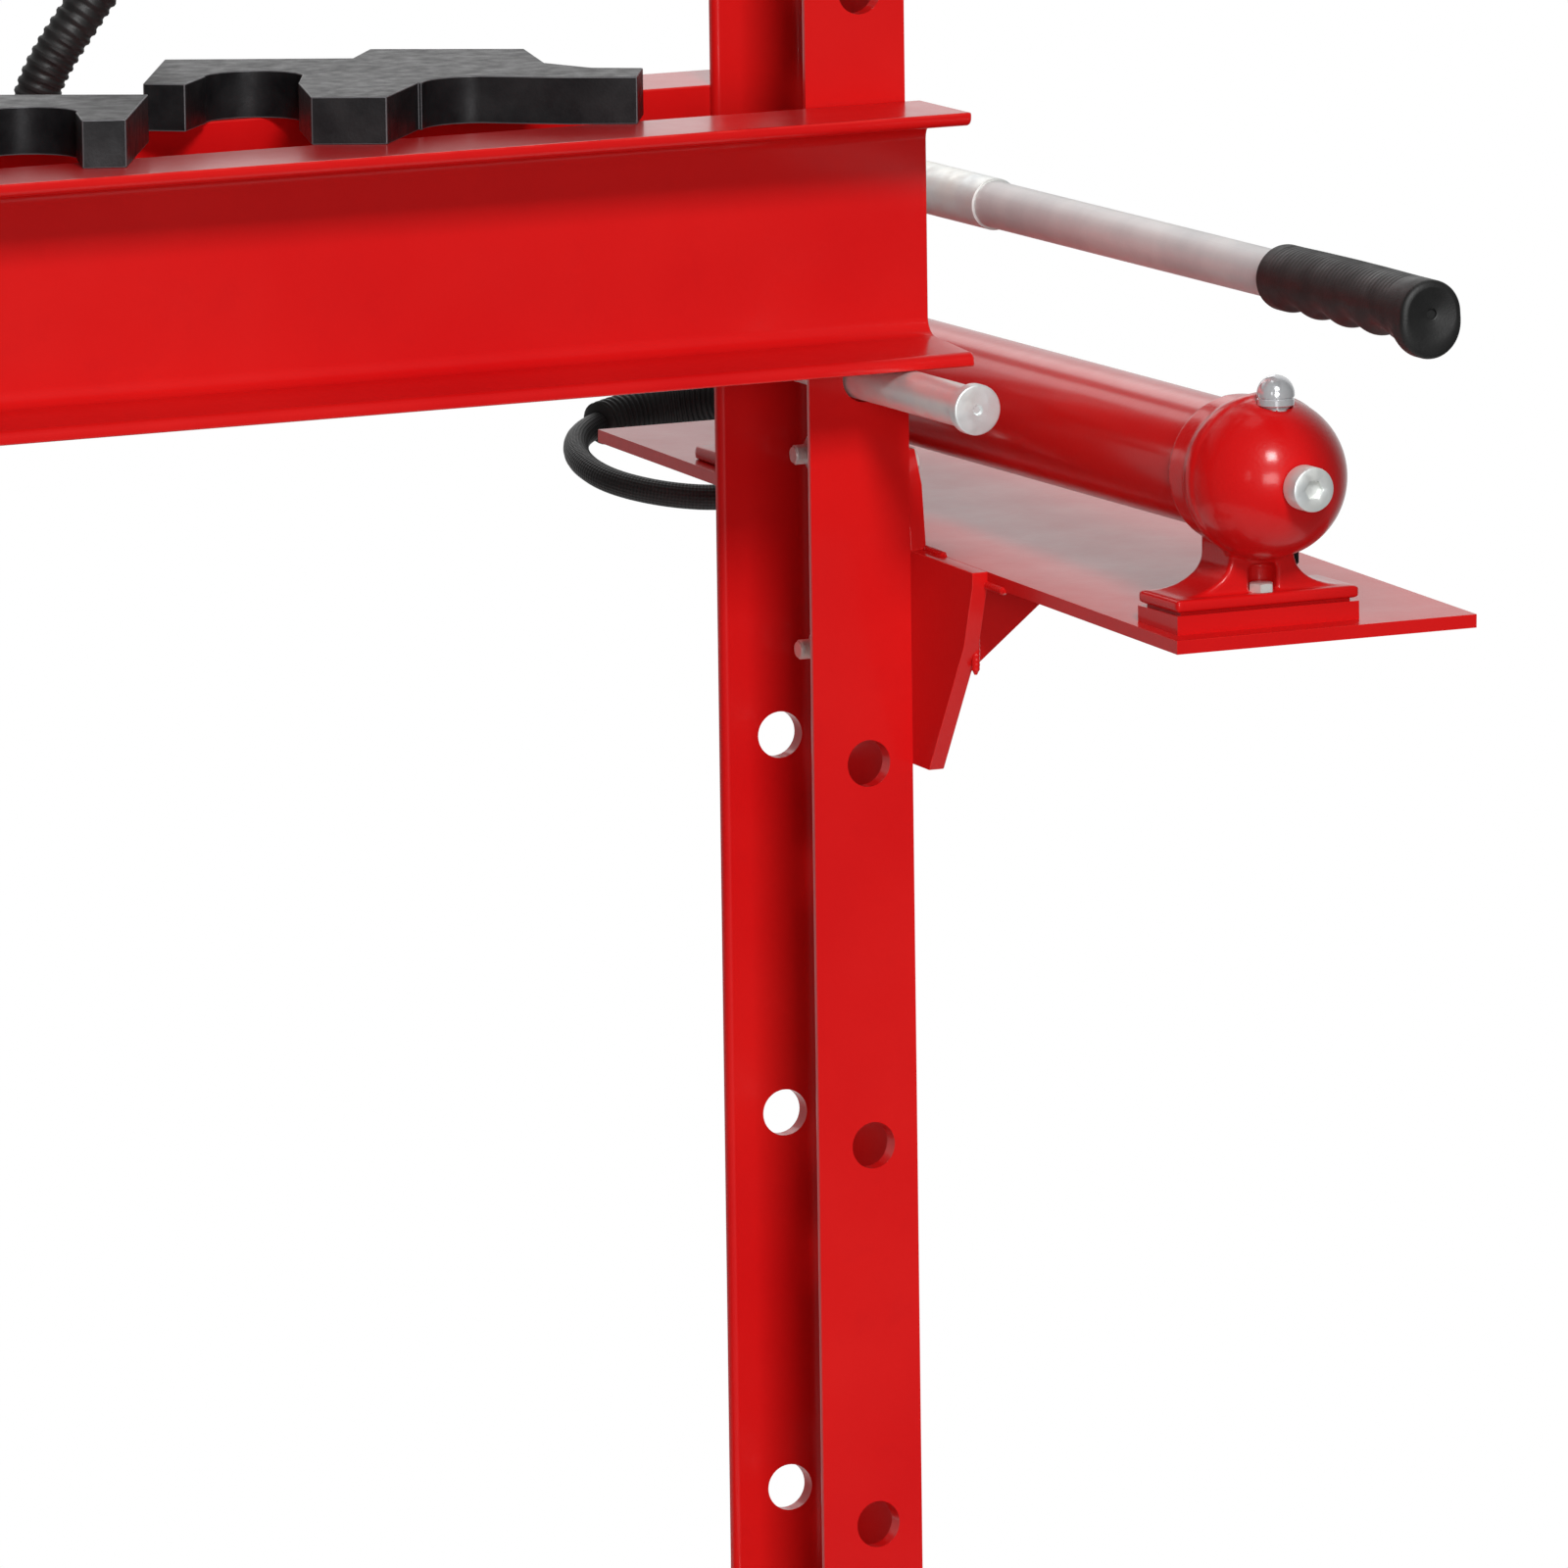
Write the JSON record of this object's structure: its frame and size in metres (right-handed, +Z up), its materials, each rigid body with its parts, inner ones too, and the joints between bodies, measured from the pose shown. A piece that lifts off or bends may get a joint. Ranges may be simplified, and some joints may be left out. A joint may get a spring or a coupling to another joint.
{
  "type": "hydraulic shop press",
  "caption": "Floor-standing H-frame hydraulic press with pinned adjustable bed, loose arbor plates and a lever hand pump on a side shelf.",
  "frame": {"origin": "on the floor under the ram's axis, at the centre of the four floor bolts", "axes": "+Z up, front towards -Y, pump on the +X side"},
  "size_m": [1.165, 1.1278, 1.96],
  "materials": {
    "red_paint": "gloss",
    "zinc_plate": "satin",
    "blackened_steel": "semi-gloss",
    "dark_paint": "semi-gloss",
    "machined_steel": "satin",
    "chrome": "polished",
    "bright_tube": "satin",
    "grip_rubber": "matt",
    "seal_rubber": "matt",
    "hose_rubber": "matt",
    "dial_white": "matt",
    "needle_black": "matt",
    "clear_glass": "clear",
    "black_plastic": "gloss"
  },
  "bodies": {
    "frame": {"left_upright": "red_paint", "right_upright": "red_paint", "left_foot": "red_paint", "right_foot": "red_paint", "left_foot_gussets": "red_paint", "right_foot_gussets": "red_paint", "lower_tie_front": "red_paint", "lower_tie_rear": "red_paint", "head_beam_front": "red_paint", "head_beam_rear": "red_paint", "seat_plate": "red_paint", "pump_shelf": "red_paint", "shelf_bracket": "red_paint", "pump_tank": "red_paint", "pump_end_cap": "red_paint", "pump_head": "red_paint", "pump_riser_pad": "red_paint", "tie_bolts": "zinc_plate", "head_bolts": "zinc_plate", "head_nuts": "zinc_plate", "seat_plate_bolts": "zinc_plate", "bracket_bolts": "zinc_plate", "pump_foot_bolts": "zinc_plate", "end_plug": "zinc_plate", "hose_end_cylinder": "zinc_plate", "hose_end_pump": "zinc_plate", "port_elbow": "zinc_plate", "gauge_tee": "zinc_plate", "lever_pivot_pin": "zinc_plate", "drain_plug": "blackened_steel", "cylinder_tube": "dark_paint", "cylinder_cap": "dark_paint", "cylinder_lock_ring": "dark_paint", "gauge_case": "dark_paint", "cylinder_gland": "machined_steel", "return_spring": "machined_steel", "plunger_gland": "machined_steel", "hose": "hose_rubber", "gauge_dial": "dial_white", "gauge_glass": "clear_glass"},
    "ram": {"ram_rod": "chrome", "ram_piston": "machined_steel", "piston_seal": "seal_rubber", "ram_nose": "machined_steel"},
    "gauge_pointer": {"gauge_needle": "needle_black"},
    "bed": {"bed_beam_front": "red_paint", "bed_beam_rear": "red_paint", "bed_spacer_left": "red_paint", "bed_spacer_right": "red_paint"},
    "bed_pin_left": {"bed_pin_left": "zinc_plate"},
    "bed_pin_right": {"bed_pin_right": "zinc_plate"},
    "arbor_left": {"arbor_plate_left": "blackened_steel"},
    "arbor_right": {"arbor_plate_right": "blackened_steel"},
    "lever": {"lever_yoke": "zinc_plate", "lever_tube": "bright_tube", "lever_grip": "grip_rubber"},
    "plunger": {"pump_plunger": "chrome", "plunger_pin": "zinc_plate"},
    "release_valve": {"release_knob": "black_plastic"},
    "filler": {"filler_plug": "chrome"}
  },
  "joints": [
    {"name": "ram_slide", "type": "slide", "parent": "frame", "child": "ram", "axis": [0, 0, -1], "range_m": [0, 0.15], "stiffness_N_per_m": 4000, "springref_m": -0.06, "deforming": ["return_spring"]},
    {"name": "gauge_pointer_turn", "type": "hinge", "parent": "frame", "child": "gauge_pointer", "pos_m": [0, -0.072, 1.91], "axis": [0, 1, 0], "range_deg": [0, 270], "stiffness_Nm_per_rad": 0.002, "springref_deg": -5.73},
    {"name": "bed_lift", "type": "slide", "parent": "frame", "child": "bed", "axis": [0, 0, 1], "range_m": [0, 0.23]},
    {"name": "bed_pin_left_pull", "type": "slide", "parent": "frame", "child": "bed_pin_left", "axis": [0, -1, 0], "range_m": [0, 0.25]},
    {"name": "bed_pin_right_pull", "type": "slide", "parent": "frame", "child": "bed_pin_right", "axis": [0, -1, 0], "range_m": [0, 0.25]},
    {"name": "arbor_left_slide", "type": "slide", "parent": "bed", "child": "arbor_left", "axis": [-1, 0, 0], "range_m": [0, 0.08]},
    {"name": "arbor_right_slide", "type": "slide", "parent": "bed", "child": "arbor_right", "axis": [1, 0, 0], "range_m": [0, 0.08]},
    {"name": "lever_stroke", "type": "hinge", "parent": "frame", "child": "lever", "pos_m": [0.552, 0.27, 1.082], "axis": [-1, 0, 0], "range_deg": [0, 45]},
    {"name": "plunger_slide", "type": "slide", "parent": "frame", "child": "plunger", "axis": [0, 0, 1], "range_m": [0, 0.0268]},
    {"name": "release_valve_turn", "type": "hinge", "parent": "frame", "child": "release_valve", "pos_m": [0.584, 0.25, 0.963], "axis": [1, 0, 0], "range_deg": [0, 180]},
    {"name": "filler_plug_lift", "type": "slide", "parent": "frame", "child": "filler", "axis": [0, 0, 1], "range_m": [0, 0.03]}
  ],
  "couplings": [
    {"joint": "plunger_slide", "follows": "lever_stroke", "m_per_rad": 0.033754}
  ]
}
